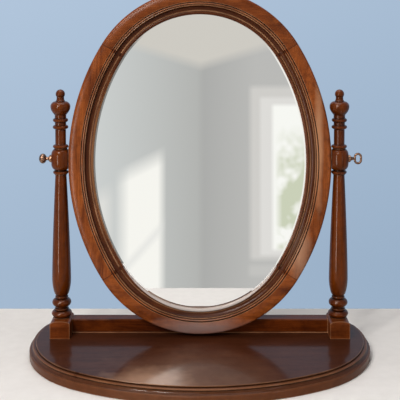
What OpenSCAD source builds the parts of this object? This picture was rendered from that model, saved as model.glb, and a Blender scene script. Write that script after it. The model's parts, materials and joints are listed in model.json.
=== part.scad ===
// Dressing-table mirror: an oval glass in a moulded frame, swung between two
// turned posts that stand on a bow-fronted base.
// Millimetres. X runs to the right, Y to the back and Z up. The origin is on the
// underside of the base, midway between the two posts.

/* [Base] */
// Width of the base over its moulded edge
base_w = 480; // [464:2:520]
// From the line of the posts to the front of the base
base_front = 188; // [180:1:210]
// From the line of the posts to the straight back edge
base_back = 42; // [38:1:60]
// Thickness of the base board
base_t = 20; // [18:0.5:24]
// Where the rounded ends meet the bow front, from the level line
end_turn = 60; // [54:1:68]
// Height of the plain band round the foot of the moulded edge
band_h = 9; // [8:0.25:10]

/* [Blocks and rail] */
// Width of each block under a post
block_w = 28; // [26:0.5:32]
// Depth of each block, front to back
block_d = 44; // [40:1:56]
// Height of each block at its crown
block_h = 25; // [23:0.5:30]
// Radius where the crown of a block turns into its sides
block_corner = 3.5; // [2:0.5:5]
// Height of the rail between the blocks
rail_h = 20; // [16:0.5:20.5]
// Thickness of the rail
rail_t = 20; // [14:0.5:20]

/* [Posts] */
// Radius of the ball that carries the pivot
ball_r = 13.6; // [12:0.1:15]
// Height of that ball between its fillets
ball_h = 30; // [26:0.5:34]
// Depth of the flat on the outer side of the ball, under the collar
ball_flat = 0.8; // [0.5:0.1:1.2]
// Depth of the flat on its inner side, which faces the frame
inner_flat = 2.9; // [2:0.1:3.4]
// Radius of the shaft at its fullest, low on the post
shaft_low_r = 13.4; // [12:0.1:14]
// Radius of the shaft at its slenderest, under the ball
shaft_top_r = 7.9; // [7:0.1:9]
// Height of the round swelling at the foot of the shaft
bulb_h = 25; // [22:1:40]
// Radius of the lowest bead, just above the block
foot_bead_r = 14.4; // [13.5:0.1:15]
// Radius of the bead above it
mid_bead_r = 13.5; // [12.5:0.1:14.4]
// Radius of the thin rings round the ball and the upper shaft
ring_r = 11; // [9.6:0.1:11.6]
// Length of the slender shaft above the ball
upper_shaft_h = 22.5; // [14:0.5:40]
// Radius of the urn near the top
urn_r = 14; // [12.5:0.1:15]
// Height of the urn
urn_h = 19.5; // [17:0.5:28]
// Radius of the little ball at the very top
finial_r = 6.6; // [5.8:0.1:7.5]
// Radius of the tenon that goes down through the block
tenon_r = 7; // [5.5:0.25:8]

/* [Mirror frame] */
// Width of the oval frame
frame_w = 372; // [354:2:382]
// Height of the oval frame
frame_h = 488; // [470:1:500]
// Where the side arcs meet the end arcs, from the level line (a slope of 28 to 45, for round radii)
joint_angle = 31.8908; // [28:0.0001:36]
// Thickness of the frame, front to back
frame_t = 20; // [19:0.5:24]
// Width of the plain outer band of the frame
band_w = 17.4; // [14:0.2:19]
// Width of the hollow between the beads and the inner lip
cove_w = 6.6; // [5:0.2:8]
// Depth of that hollow
cove_depth = 4.4; // [3:0.2:5]
// Width of the rounded inner lip
lip_w = 4.6; // [4:0.1:7]
// How far the frame swings clear of the base
swing_gap = 4.3; // [3:0.1:14]
// Height of the pivots above the middle of the oval
pivot_rise = 4; // [1:0.2:8]
// How far the mirror leans back at rest, in degrees
lean = 2.2; // [1.6:0.1:2.6]

/* [Glass and back] */
// Thickness of the glass
glass_t = 4; // [3:0.5:4]
// Width of the bevel ground round the glass
bevel_w = 8; // [6.5:0.5:14]
// Thickness of the backing board
board_t = 3; // [2.5:0.25:4]
// Number of screws that hold the backing board
board_screws = 8; // [6:1:12]

/* [Pivots] */
// Radius of the threaded shank of a thumb screw
shank_r = 2.5; // [2:0.1:3]
// How far a thumb screw reaches into the frame
shank_reach = 14; // [10:0.5:18]
// Length of the pivot plate let into the edge of the frame
plate_l = 36; // [32:1:44]
// Width of the pivot plate
plate_w = 11; // [9:0.5:11.5]
// Thickness of the pivot plate
plate_t = 2; // [1.5:0.25:3]
// Thickness of the washer between post and frame
washer_t = 0.6; // [0.5:0.1:2]
// Radius of both washers and of the outer collar
collar_r = 5.3; // [5:0.1:6.5]
// Thickness of the collar outside the post
collar_t = 2.6; // [1:0.1:3.5]
// Radius of the round knob on the left thumb screw
knob_r = 7.1; // [5.5:0.1:8]
// Height of the long ring on the right thumb screw
ring_head_h = 16.6; // [15:0.2:20]
// Width of that ring, outwards from the post
ring_head_w = 11.8; // [11:0.2:14]
// Radius of the bar that the ring is made of
ring_bar_r = 1.6; // [1.2:0.1:1.8]

/* [Hidden] */

$fn = 72;

WOOD = "#6f3519";
WOOD_DARK = "#55240f";
PLY = "#a07a4d";
BRASS = "#9a7a44";
STEEL = "#8d8d8f";
SILVER = "#c9ced0";

// Clearances: in a glued or screwed joint, round a turning part, beside a washer
glue_gap = 0.05;
run_gap = 0.08;
washer_gap = 0.1;
// More than any part is thick, for cuts that run right out
clear = 60;

// A stretch of ellipse as points, n steps from angle a to angle b about [x, y], and the same on a circle
function curve(x, y, rx, ry, a, b, n) =
    [for (i = [0:n]) let (t = a + (b - a) * i / n) [x + rx * cos(t), y + ry * sin(t)]];
function arc(x, y, r, a, b, n) = curve(x, y, r, r, a, b, n);

// A bead on a turned post, as [radius, height] points: half round, or more pointed
function bead(z, half_h, neck, r, n = 8) = curve(neck, z, r - neck, half_h, -90, 90, n);
function sharp_bead(z, half_h, neck, r, n = 10) =
    [for (i = [0:n]) let (t = -90 + 180 * i / n)
        [neck + (r - neck) * pow(cos(t), 1.35), z + half_h * sin(t)]];

// Oval drawn from four centres. A side arc and an end arc meet at joint_angle,
// where both have the same tangent, so their radii follow from width and height.
frame_a = frame_w / 2;
frame_b = frame_h / 2;
end_arc_r = (frame_b * (1 - cos(joint_angle)) - frame_a * sin(joint_angle))
            / (1 - cos(joint_angle) - sin(joint_angle));
side_arc_r = (frame_a - end_arc_r * cos(joint_angle)) / (1 - cos(joint_angle));
side_centre = frame_a - side_arc_r;
end_centre = frame_b - end_arc_r;
// Name, centre, radius, first angle and sweep of the arcs: right, top, left, bottom
OVAL = [[[side_centre, 0], side_arc_r, -joint_angle, 2 * joint_angle],
        [[0, end_centre], end_arc_r, joint_angle, 180 - 2 * joint_angle],
        [[-side_centre, 0], side_arc_r, 180 - joint_angle, 2 * joint_angle],
        [[0, -end_centre], end_arc_r, 180 + joint_angle, 180 - 2 * joint_angle]];

// The point of the oval that lies inset from its edge, at angle t of its normal
function oval_arc(t) = t < joint_angle || t >= 360 - joint_angle ? OVAL[0]
    : t < 180 - joint_angle ? OVAL[1]
    : t < 180 + joint_angle ? OVAL[2] : OVAL[3];
function oval_point(t, inset) = let (o = oval_arc(t)) o[0] + (o[1] - inset) * [cos(t), sin(t)];

// Section of the frame, from its outer edge inwards and from back to front
frame_back = -frame_t / 2;
frame_front = frame_t / 2;
edge_round = 4;
crown_rise = 0.8;
quirk_w = 0.9;
bead_r = 1.3;
small_bead_r = 0.9;
bead_step = 0.5;
fillet_w = 0.8;
lip_rise = 1.5;
sight_edge_t = 0.9;
band_z = frame_front - crown_rise;
crown_half = (band_w - edge_round) / 2;
crown_r = (pow(crown_half, 2) + pow(crown_rise, 2)) / (2 * crown_rise);
crown_angle = asin(crown_half / crown_r);
bead_w = band_w + quirk_w + bead_r;
bead_z = band_z - bead_r - 0.1;
small_bead_w = bead_w + bead_r + bead_step + small_bead_r;
small_bead_z = bead_z - bead_step;
cove_start_w = small_bead_w + small_bead_r;
cove_z = small_bead_z + 0.2;
cove_end_w = cove_start_w + cove_w;
lip_start_w = cove_end_w + fillet_w;
sight_w = lip_start_w + lip_w;
lip_base_z = cove_z - cove_depth;
lip_crest_w = lip_start_w + 0.36 * lip_w;
lip_top_z = lip_base_z + 2;
glass_front_z = lip_base_z - 1.2;
lip_fall = lip_top_z - glass_front_z - sight_edge_t;
glass_lap = 6;
glass_edge_gap = 0.5;
glass_rebate_w = sight_w - glass_lap;
glass_w = glass_rebate_w + glass_edge_gap;
board_seat_z = glass_front_z - glass_t - 0.1;
board_rebate_w = glass_rebate_w - 7.5;
board_edge_w = board_rebate_w + 0.4;
board_screw_w = board_rebate_w + 3.8;
back_round = 1.5;

// The quarter-round front edge, the crowned band, a quirk, two beads, a cove and the lip
frame_section = concat(
    [[back_round, frame_back], [0, frame_back + back_round]],
    arc(edge_round, band_z - edge_round, edge_round, 180, 90, 8),
    arc(edge_round + crown_half, frame_front - crown_r, crown_r, 90 + crown_angle, 90 - crown_angle, 8),
    [[band_w, bead_z], [band_w + quirk_w, bead_z]],
    arc(bead_w, bead_z, bead_r, 180, 0, 8),
    [[bead_w + bead_r, small_bead_z], [bead_w + bead_r + bead_step, small_bead_z]],
    arc(small_bead_w, small_bead_z, small_bead_r, 180, 0, 6),
    curve(cove_end_w, cove_z, cove_w, cove_depth, 180, 270, 8),
    [[lip_start_w, lip_base_z]],
    curve(lip_crest_w, lip_top_z - lip_rise, lip_crest_w - lip_start_w, lip_rise, 180, 95, 6),
    curve(lip_crest_w, glass_front_z + sight_edge_t, sight_w - lip_crest_w, lip_fall, 90, 0, 9),
    [[sight_w, glass_front_z], [glass_rebate_w, glass_front_z], [glass_rebate_w, board_seat_z],
     [board_rebate_w, board_seat_z], [board_rebate_w, frame_back]]);

// Pivots: the post stands off the frame by one washer and its play
inner_side = ball_r - inner_flat;
outer_side = ball_r - ball_flat;
post_x = frame_a + washer_t + 2 * washer_gap + inner_side;
pivot_z = base_t + swing_gap + frame_b + pivot_rise;

// Moulded edge of the base: how far each member stands outside the flat top
fillet_h = 2.2;
edge_bead_r = 1.4;
edge_bead_x = 3;
edge_cove_r = 3.4;
band_round = 2;
edge_step = edge_bead_x + edge_cove_r + 0.8 + band_round - 0.2;
edge_bead_z = base_t - fillet_h - edge_bead_r;
foot_round = 0.6;
arris = 0.8;
rim_w = 30;
base_a = base_w / 2 - edge_step;
base_f = base_front - edge_step;
end_set = -9;
// The bow front is tangent to both rounded ends, so the arcs' centres lie this far apart
end_span = (base_a - base_f - end_set) / (sin(end_turn) + cos(end_turn) - 1);
end_x = end_span * cos(end_turn);
end_r = base_a - end_x;
bow_r = end_r + end_span;
bow_y = bow_r - base_f;
bow_half = 90 - end_turn;
back_angle = asin((base_back - end_set) / end_r) + 8;

// Measured outwards from the edge of the flat top
edge_section = concat(
    [[-rim_w, 0], [edge_step - foot_round, 0], [edge_step, foot_round]],
    arc(edge_step - band_round, band_h, band_round, 0, 90, 5),
    arc(edge_bead_x + 0.8 + edge_cove_r, band_h + band_round + edge_cove_r, edge_cove_r, 270, 180, 7),
    [[edge_bead_x, edge_bead_z - edge_bead_r]],
    arc(edge_bead_x, edge_bead_z, edge_bead_r, -90, 90, 7),
    [[0, base_t - fillet_h]],
    arc(-arris, base_t - arris, arris, 0, 90, 3),
    [[-rim_w, base_t]]);

// Blocks, tenons and rail
block_seat = base_t + block_h - 1.8;
tenon_floor = 8;
block_screw_y = 14.5;
stub_l = 8;
stub_t = 10;
stub_h = 12;
rail_gap = 0.5;
rail_top = base_t + rail_h;
rail_front = frame_t / 2 / cos(lean) - (pivot_z - rail_top) * tan(lean) + rail_gap;
rail_l = 2 * post_x - block_w;
rail_screw_x = 120;

// Wood screws: shank radius, head radius, length and how far the head is sunk
base_screw = [2, 4, 32, 0.5];
plate_screw = [1.4, 2.6, 12, 0];
board_screw_r = 1.25;
board_screw_l = board_t + lip_base_z - board_seat_z - 1.6;
board_head_r = 2.6;
board_head_h = 1.6;

// Heights of the post's members, up from the block
foot_h = 2.2;
foot_r = 12;
foot_bead_h = 9.8;
foot_neck_r = 8.9;
foot_neck_h = 5.2;
mid_bead_h = 11.6;
neck_r = 8.1;
low_neck_h = 4.2;
astragal_h = 3.2;
ring_h = 4.8;
ring_neck_r = 8.4;
ball_swell = 1.15;
ball_end_r = ball_r * sqrt(1 - 1 / pow(ball_swell, 4));
// The pivot lies a little above the middle of the ball
ball_drop = 0.8;
collar_band_h = 1;
fine_ring_h = 5.4;
fine_neck_h = 4.4;
upper_r = 7.6;
urn_low = 0.63;
urn_top_r = 6.6;
finial_neck_r = 5.3;
finial_neck_h = 6.4;

// Measured along the post's axis from the table
z_foot = block_seat + foot_h;
z_foot_bead = z_foot + foot_bead_h;
z_mid_bead = z_foot_bead + foot_neck_h + mid_bead_h;
z_bulb = z_mid_bead + low_neck_h;
z_shaft = z_bulb + bulb_h;
z_ball_mid = pivot_z - ball_drop;
z_ball = z_ball_mid - ball_h / 2;
z_low_ring = z_ball - collar_band_h - ring_h / 2;
z_shaft_end = z_low_ring - ring_h / 2 - 0.8;
z_ball_top = z_ball_mid + ball_h / 2;
z_high_ring = z_ball_top + collar_band_h + ring_h / 2;
z_upper = z_high_ring + ring_h / 2 + upper_shaft_h;
z_fine_ring = z_upper + fine_ring_h / 2;
z_top_ring = z_upper + fine_ring_h * 1.5 + fine_neck_h;
z_urn = z_upper + fine_ring_h * 2 + fine_neck_h * 2;
z_urn_wide = z_urn + urn_h * urn_low;
z_urn_top = z_urn + urn_h;
z_finial = z_urn_top + finial_neck_h + sqrt(pow(finial_r, 2) - pow(finial_neck_r, 2));

// Outline of a post as [radius, height], from the foot of its tenon to its top
post_outline = concat(
    [[0, tenon_floor], [tenon_r, tenon_floor], [tenon_r, block_seat], [foot_r, block_seat], [foot_r, z_foot]],
    sharp_bead(z_foot + foot_bead_h / 2, foot_bead_h / 2, foot_neck_r + 0.6, foot_bead_r),
    bead(z_foot_bead + astragal_h / 2, astragal_h / 2, foot_neck_r, foot_neck_r + 1.2, 6),
    [[foot_neck_r - 0.4, z_foot_bead + astragal_h + 0.3]],
    sharp_bead(z_mid_bead - mid_bead_h / 2, mid_bead_h / 2, foot_neck_r - 0.3, mid_bead_r),
    bead(z_mid_bead + low_neck_h / 2, astragal_h / 2, neck_r, neck_r + 1.2, 6),
    [for (t = [0:0.1:0.91]) [neck_r + (shaft_low_r - neck_r) * pow(sin(90 * t), 0.58), z_bulb + bulb_h * t]],
    [for (t = [0:0.0625:1]) [shaft_top_r + (shaft_low_r - shaft_top_r) * (1 - pow(t, 1.35)),
                             z_shaft + (z_shaft_end - z_shaft) * t]],
    [[neck_r + 0.9, z_shaft_end], [neck_r + 0.9, z_shaft_end + 0.8]],
    bead(z_low_ring, ring_h / 2, ring_neck_r, ring_r),
    [[ring_neck_r, z_ball]],
    [for (t = [-1:0.1:1.01]) [ball_r * sqrt(1 - pow(t / ball_swell, 4)), z_ball_mid + t * ball_h / 2]],
    [[ball_end_r + 0.3, z_ball_top + 0.1], [ball_end_r + 0.3, z_ball_top + collar_band_h]],
    bead(z_high_ring, ring_h / 2, ring_neck_r, ring_r),
    [[upper_r, z_high_ring + ring_h / 2 + 0.6], [upper_r, z_upper - 0.6]],
    bead(z_fine_ring, fine_ring_h / 2, neck_r, ring_r),
    [[neck_r - 0.2, z_upper + fine_ring_h + fine_neck_h / 2]],
    bead(z_top_ring, fine_ring_h / 2, neck_r, ring_r - 0.2),
    [for (t = [0:0.1:0.91]) [neck_r + (urn_r - neck_r) * pow(sin(90 * pow(t, 0.6)), 2),
                             z_urn + (z_urn_wide - z_urn) * t]],
    curve(urn_top_r, z_urn_wide, urn_r - urn_top_r, z_urn_top - z_urn_wide, 0, 90, 8),
    [[urn_top_r, z_urn_top + 0.7], [finial_neck_r + 0.4, z_urn_top + 1.8], [finial_neck_r, z_urn_top + 3.6]],
    arc(0, z_finial, finial_r, -acos(finial_neck_r / finial_r), 90, 9));

// Section of the rail as [Y, Z]: a half-round bead along its foot, eased top edges
rail_ease = 1.2;
rail_bead_r = 0.9;
rail_section = concat(
    [[rail_front + rail_t, base_t], [rail_front, base_t]],
    arc(rail_front, base_t + rail_bead_r, rail_bead_r, 270, 90, 5),
    [[rail_front, rail_top - rail_ease], [rail_front + rail_ease, rail_top],
     [rail_front + rail_t - rail_ease, rail_top], [rail_front + rail_t, rail_top - rail_ease]]);

// Front outline of a block: upright sides, round corners and a low crown tangent to them
crown_turn = 18;
crown_x = block_w / 2 - block_corner;
block_crown_r = block_corner + crown_x / sin(crown_turn);
crown_z = block_h - block_crown_r + (block_crown_r - block_corner) * cos(crown_turn);
block_outline = concat(
    [[-block_w / 2, 0], [block_w / 2, 0]],
    arc(crown_x, crown_z, block_corner, 0, 90 - crown_turn, 6),
    arc(0, block_h - block_crown_r, block_crown_r, 90 - crown_turn, 90 + crown_turn, 10),
    arc(-crown_x, crown_z, block_corner, 90 + crown_turn, 180, 6));

// Sweeps a section, drawn as [inset, height], round one arc of an outline
module arc_sweep(o) {
    translate([o[0][0], o[0][1], 0])
        rotate_extrude(angle = o[3], start = o[2])
            translate([o[1], 0]) mirror([1, 0]) children();
}

// Stands a part drawn flat, face up, on the leaning mirror: its middle on the oval's middle
module on_mirror() {
    translate([0, 0, pivot_z]) rotate([-lean, 0, 0])
        rotate([90, 0, 0]) translate([0, -pivot_rise, 0]) children();
}

// Lays a part turned about Z on the pivot axis: height runs outwards from the middle
module on_pivot(side) {
    translate([0, 0, pivot_z]) rotate([0, side * 90, 0]) children();
}

// A wood screw that points up from its countersunk head, at the origin
module wood_screw(s) {
    translate([0, 0, s[3]]) {
        cylinder(h = s[1] - s[0], r1 = s[1], r2 = s[0]);
        cylinder(h = s[2] - s[0], r = s[0]);
        translate([0, 0, s[2] - s[0]]) cylinder(h = s[0], r1 = s[0], r2 = 0.4);
    }
}

// The hole for such a screw: shank and countersink, from the face it enters
module screw_hole(s, gap) {
    translate([0, 0, -1]) cylinder(h = s[2] + s[3] + 1.2, r = s[0] + gap);
    translate([0, 0, s[3]]) cylinder(h = s[1] - s[0], r1 = s[1] + gap, r2 = s[0] + gap);
    translate([0, 0, -1]) cylinder(h = s[3] + 1, r = s[1] + gap);
}

module base_screw_places() {
    for (x = [-post_x, post_x], y = [-block_screw_y, block_screw_y]) translate([x, y, 0]) children();
}

module rail_screw_places() {
    for (x = [-rail_screw_x, 0, rail_screw_x]) translate([x, rail_front + rail_t / 2, 0]) children();
}

// Base board: three tangent arcs carry one moulded edge, and a flat core fills the middle
module base_board() color(WOOD) {
    ends = [[[-end_x, end_set], end_r, 180 - back_angle, back_angle + 90 - bow_half],
            [[0, bow_y], bow_r, 270 - bow_half, 2 * bow_half],
            [[end_x, end_set], end_r, 270 + bow_half, 90 - bow_half + back_angle]];
    core_r = rim_w / 2;
    difference() {
        union() {
            for (o = ends) arc_sweep(o) mirror([1, 0]) polygon(edge_section);
            linear_extrude(base_t) polygon(concat(
                arc(0, bow_y, bow_r - core_r, 270 - bow_half, 270 + bow_half, 24),
                arc(end_x, end_set, end_r - core_r, -90 + bow_half, back_angle, 16),
                arc(-end_x, end_set, end_r - core_r, 180 - back_angle, 270 - bow_half, 16)));
        }
        translate([-base_w, base_back, -1]) cube([2 * base_w, 2 * clear, base_t + 2]);
        for (x = [-post_x, post_x])
            translate([x, 0, tenon_floor - glue_gap]) cylinder(h = base_t, r = tenon_r + glue_gap);
        base_screw_places() screw_hole(base_screw, glue_gap);
        rail_screw_places() screw_hole(base_screw, glue_gap);
    }
}

// Block under a post, bored for the tenon, with a mortise on its inner side for the rail
module post_block(side) color(WOOD) {
    difference() {
        translate([side * post_x, block_d / 2, base_t]) rotate([90, 0, 0])
            linear_extrude(block_d) polygon(block_outline);
        translate([side * post_x, 0, base_t - 1]) cylinder(h = block_h + 2, r = tenon_r + glue_gap);
        translate([side * post_x, 0, block_seat]) cylinder(h = 5, r = foot_r + glue_gap);
        base_screw_places() cylinder(h = base_screw[2] + base_screw[3] + 0.2, r = base_screw[0] + glue_gap);
        translate([side * (post_x - block_w / 2), rail_front + rail_t / 2, base_t + rail_h / 2])
            cube([2 * (stub_l + glue_gap), stub_t + 2 * glue_gap, stub_h + 2 * glue_gap], center = true);
    }
}

// Turned post: one revolved outline, flatted and bored at the ball
module turned_post(side) color(WOOD) {
    difference() {
        translate([side * post_x, 0, 0]) rotate_extrude() polygon(post_outline);
        for (x = [post_x - inner_side - clear / 2, post_x + outer_side + clear / 2])
            translate([side * x, 0, z_ball_mid]) cube([clear, clear, ball_h], center = true);
        translate([side * post_x, 0, pivot_z]) rotate([0, 90, 0])
            cylinder(h = clear, r = shank_r + run_gap, center = true);
    }
}

// Rail between the blocks, against which the foot of the mirror comes to rest
module cross_rail() color(WOOD_DARK) {
    difference() {
        union() {
            translate([-rail_l / 2, 0, 0]) rotate([90, 0, 90]) linear_extrude(rail_l) polygon(rail_section);
            translate([0, rail_front + rail_t / 2, base_t + rail_h / 2])
                cube([rail_l + 2 * stub_l, stub_t, stub_h], center = true);
        }
        rail_screw_places() cylinder(h = base_screw[2] + base_screw[3] + 0.2, r = base_screw[0] + glue_gap);
    }
}

module block_screws() color(STEEL) base_screw_places() wood_screw(base_screw);

module rail_screws() color(STEEL) rail_screw_places() wood_screw(base_screw);

// Places for the dowels that hold the four frame pieces end to end
dowel_r = 4;
dowel_l = 30;
dowel_w = 10.5;
module dowel_places(gap) {
    for (t = [joint_angle, 180 - joint_angle, 180 + joint_angle, 360 - joint_angle]) {
        p = oval_point(t, dowel_w);
        translate([p[0], p[1], -1]) rotate([0, 0, t]) rotate([90, 0, 0])
            cylinder(h = dowel_l + 2 * gap, r = dowel_r + gap, center = true);
    }
}

module board_screw_places() {
    for (i = [0:board_screws - 1]) {
        p = oval_point((i + 0.5) * 360 / board_screws, board_screw_w);
        translate([p[0], p[1], 0]) children();
    }
}

// Mortise for a pivot plate, and the deeper hole for the thumb screw behind it
module pivot_mortise(side) {
    translate([side * frame_a, pivot_rise, 0]) {
        cube([2 * (plate_t + glue_gap), plate_l + 2 * glue_gap, plate_w + 2 * glue_gap], center = true);
        rotate([0, 90, 0])
            cylinder(h = 2 * (shank_reach + 1), r = shank_r + 0.5, center = true);
    }
    plate_screw_places(side) screw_hole(plate_screw, glue_gap);
}

plate_screw_reach = plate_l / 2 - 5;
module plate_screw_places(side) {
    for (s = [-1, 1])
        translate([side * frame_a, pivot_rise + s * plate_screw_reach, 0])
            rotate([0, -side * 90, 0]) children();
}

// One piece of the frame: its arc of the oval, jointed, rebated and bored
module frame_piece(i) color(WOOD) on_mirror() {
    difference() {
        arc_sweep(OVAL[i]) polygon(frame_section);
        dowel_places(glue_gap);
        board_screw_places()
            translate([0, 0, board_seat_z - 1])
                cylinder(h = board_screw_l - board_t + 1.2, r = board_screw_r + glue_gap);
        if (i == 0) pivot_mortise(1);
        if (i == 2) pivot_mortise(-1);
    }
}

module frame_dowels() color(PLY) on_mirror() dowel_places(0);

// A flat oval plate: its edge section swept round the four arcs, and a core inside them,
// which has no corner where two arcs meet
plate_rim = 40;
module oval_plate(inset, low, high, section) {
    for (o = OVAL) arc_sweep(o) polygon(section);
    translate([0, 0, low]) linear_extrude(high - low)
        polygon([for (o = OVAL, k = [0.5:15.5]) oval_point(o[2] + o[3] * k / 16, inset + plate_rim / 2)]);
}

bevel_h = 0.8;
module mirror_glass() color(SILVER) on_mirror() {
    low = glass_front_z - glass_t;
    oval_plate(glass_w, low, glass_front_z,
        [[glass_w, low], [glass_w, glass_front_z - bevel_h], [glass_w + bevel_w, glass_front_z],
         [glass_w + plate_rim, glass_front_z], [glass_w + plate_rim, low]]);
}

module backing_board() color(PLY) on_mirror() {
    low = board_seat_z - board_t;
    difference() {
        oval_plate(board_edge_w, low, board_seat_z,
            [[board_edge_w, low], [board_edge_w, board_seat_z],
             [board_edge_w + plate_rim, board_seat_z], [board_edge_w + plate_rim, low]]);
        board_screw_places() translate([0, 0, low - 1]) cylinder(h = board_t + 2, r = board_screw_r + 0.2);
    }
}

// Round-headed screws, driven from the back
module backing_screws() color(BRASS) on_mirror() {
    low = board_seat_z - board_t;
    dome_r = (pow(board_head_r, 2) + pow(board_head_h, 2)) / (2 * board_head_h);
    board_screw_places() difference() {
        union() {
            translate([0, 0, low - 0.2]) cylinder(h = board_screw_l + 0.2, r = board_screw_r);
            intersection() {
                translate([0, 0, low - board_head_h + dome_r]) sphere(r = dome_r);
                translate([0, 0, low - board_head_h]) cylinder(h = board_head_h, r = clear);
            }
        }
        translate([0, 0, low - board_head_h]) cube([2 * clear, 0.7, 1.4], center = true);
    }
}

// Plate let into the edge of the frame, tapped for the thumb screw
module pivot_plate(side) color(BRASS) on_mirror() {
    difference() {
        translate([side * (frame_a - plate_t / 2), pivot_rise, 0])
            cube([plate_t, plate_l, plate_w], center = true);
        translate([side * frame_a, pivot_rise, 0]) rotate([0, 90, 0])
            cylinder(h = clear, r = shank_r + run_gap, center = true);
        plate_screw_places(side) screw_hole(plate_screw, glue_gap);
    }
}

module pivot_plate_screws() color(BRASS) on_mirror()
    for (side = [-1, 1]) plate_screw_places(side) wood_screw(plate_screw);

// Washer between the frame and the post
module frame_washer(side) color(BRASS) on_pivot(side) {
    translate([0, 0, frame_a + washer_gap]) difference() {
        cylinder(h = washer_t, r = collar_r);
        translate([0, 0, -1]) cylinder(h = washer_t + 2, r = shank_r + run_gap);
    }
}

collar_z = post_x + outer_side;
shoulder_z = collar_z + collar_t + washer_gap;
// Turned collar on the outside of the post, under the shoulder of the thumb screw
module post_collar(side) color(BRASS) on_pivot(side) {
    round = 0.5;
    translate([0, 0, collar_z]) rotate_extrude()
        polygon(concat([[shank_r + run_gap, 0], [collar_r, 0]],
                       arc(collar_r - round, collar_t - round, round, 0, 90, 4),
                       [[shank_r + run_gap, collar_t]]));
}

// Thumb screws: shank, flared shoulder and neck are one turning
shoulder_r = 4.3;
shoulder_h = 3.4;
neck_bar_r = 2.4;
knob_half = 5.5;
knob_z = shoulder_z + shoulder_h + knob_half + 1;
shank_z = frame_a - shank_reach;
screw_turning = concat(
    [[0, shank_z], [shank_r - 0.6, shank_z], [shank_r, shank_z + 0.8], [shank_r, shoulder_z],
     [shoulder_r, shoulder_z]],
    [for (t = [0:15:90]) [shoulder_r - (shoulder_r - neck_bar_r) * sin(t),
                          shoulder_z + 0.8 + (shoulder_h - 0.8) * (1 - cos(t))]]);

// Left thumb screw, with a flattened ball to turn it by
module left_thumb_screw() color(BRASS) on_pivot(-1) {
    from = asin(neck_bar_r / knob_r);
    rotate_extrude() polygon(concat(
        screw_turning,
        [for (t = [-90 + from:(180 - from) / 14:90.01]) [knob_r * cos(t), knob_z + knob_half * sin(t)]]));
}

// Right thumb screw, with a long ring of round bar to turn it by. The neck runs into the bar.
module right_thumb_screw() color(BRASS) on_pivot(1) {
    bend_r = ring_head_w / 2 - ring_bar_r;
    side_l = ring_head_h - ring_head_w;
    ring_z = shoulder_z + shoulder_h + 3.6 + bend_r;
    rotate_extrude() polygon(concat(
        screw_turning,
        [[ring_bar_r - 0.1, ring_z - bend_r - ring_bar_r + 0.5], [ring_bar_r - 0.2, ring_z - bend_r],
         [0, ring_z - bend_r]]));
    translate([0, 0, ring_z]) rotate([90, 0, 0])
        for (s = [-1, 1]) {
            translate([s * side_l / 2, 0, 0]) rotate_extrude(angle = 180, start = -s * 90)
                translate([bend_r, 0]) circle(r = ring_bar_r);
            translate([0, s * bend_r, 0]) rotate([0, 90, 0])
                cylinder(h = side_l, r = ring_bar_r, center = true);
        }
}

base_board();
post_block(-1);  // left_block
post_block(1);  // right_block
turned_post(-1);  // left_post
turned_post(1);  // right_post
cross_rail();
block_screws();
rail_screws();
frame_piece(1);  // frame_top
frame_piece(0);  // frame_right
frame_piece(3);  // frame_bottom
frame_piece(2);  // frame_left
frame_dowels();
mirror_glass();
backing_board();
backing_screws();
pivot_plate(-1);  // left_pivot_plate
pivot_plate(1);  // right_pivot_plate
pivot_plate_screws();
frame_washer(-1);  // left_washer
frame_washer(1);  // right_washer
post_collar(-1);  // left_collar
post_collar(1);  // right_collar
left_thumb_screw();
right_thumb_screw();
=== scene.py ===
# %% [markdown]
# A swing mirror for a dressing table
#
# This lesson dresses a finished set of solids: an oval mirror that swings between two turned posts on a
# bow-fronted base. The shapes come ready made. What is left is what the eye reads first: polished, slightly
# worn mahogany, silvered glass with a ground bevel, old brass, and light that suits all three.
#
# Everything is in metres. X runs to the right, Y away from the viewer and Z up. The origin is on the
# underside of the base, midway between the two posts.

# %% Load the solids
import json
import math

import bmesh
import bpy
from mathutils import Matrix, Vector


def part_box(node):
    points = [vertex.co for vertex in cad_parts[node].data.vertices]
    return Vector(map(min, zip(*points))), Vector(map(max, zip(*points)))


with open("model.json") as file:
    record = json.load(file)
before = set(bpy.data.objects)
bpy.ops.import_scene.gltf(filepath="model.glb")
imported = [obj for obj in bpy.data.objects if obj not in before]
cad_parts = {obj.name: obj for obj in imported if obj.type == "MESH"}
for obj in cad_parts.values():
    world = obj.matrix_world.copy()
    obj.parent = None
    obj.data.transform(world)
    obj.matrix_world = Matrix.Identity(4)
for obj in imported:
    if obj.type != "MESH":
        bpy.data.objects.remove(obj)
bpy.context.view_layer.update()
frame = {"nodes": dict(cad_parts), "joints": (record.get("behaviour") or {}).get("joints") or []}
nodes = frame["nodes"]

# %% [markdown]
# The camera
#
# The photograph was taken from about the height of the mirror's top, looking down by less than three
# degrees, and then cropped low. A steeper tilt would bring the same part into view, but it would make the
# posts lean together. A lens shift does what the crop did and keeps them upright, so it is used here.
#
# The lens is known in pixels of a square picture, and Blender wants it in millimetres on its sensor, so one
# is worked out from the other. The tilt is in radians, as all angles in a script are.

# %% Camera
CAMERA_PLACE = (0.0055, -1.3042, 0.5031)
LOOK_DOWN = 0.047
LENS_PIXELS = 925.4
PICTURE_PIXELS = 400
SENSOR_MM = 36
SHIFT_RIGHT = -0.0095
SHIFT_UP = -0.4018
NEAREST = 0.01
FARTHEST = 50

camera_data = bpy.data.cameras.new("camera")
camera_data.sensor_width = SENSOR_MM
camera_data.lens = LENS_PIXELS * SENSOR_MM / PICTURE_PIXELS
camera_data.shift_x = SHIFT_RIGHT
camera_data.shift_y = SHIFT_UP
camera_data.clip_start = NEAREST
camera_data.clip_end = FARTHEST

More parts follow.
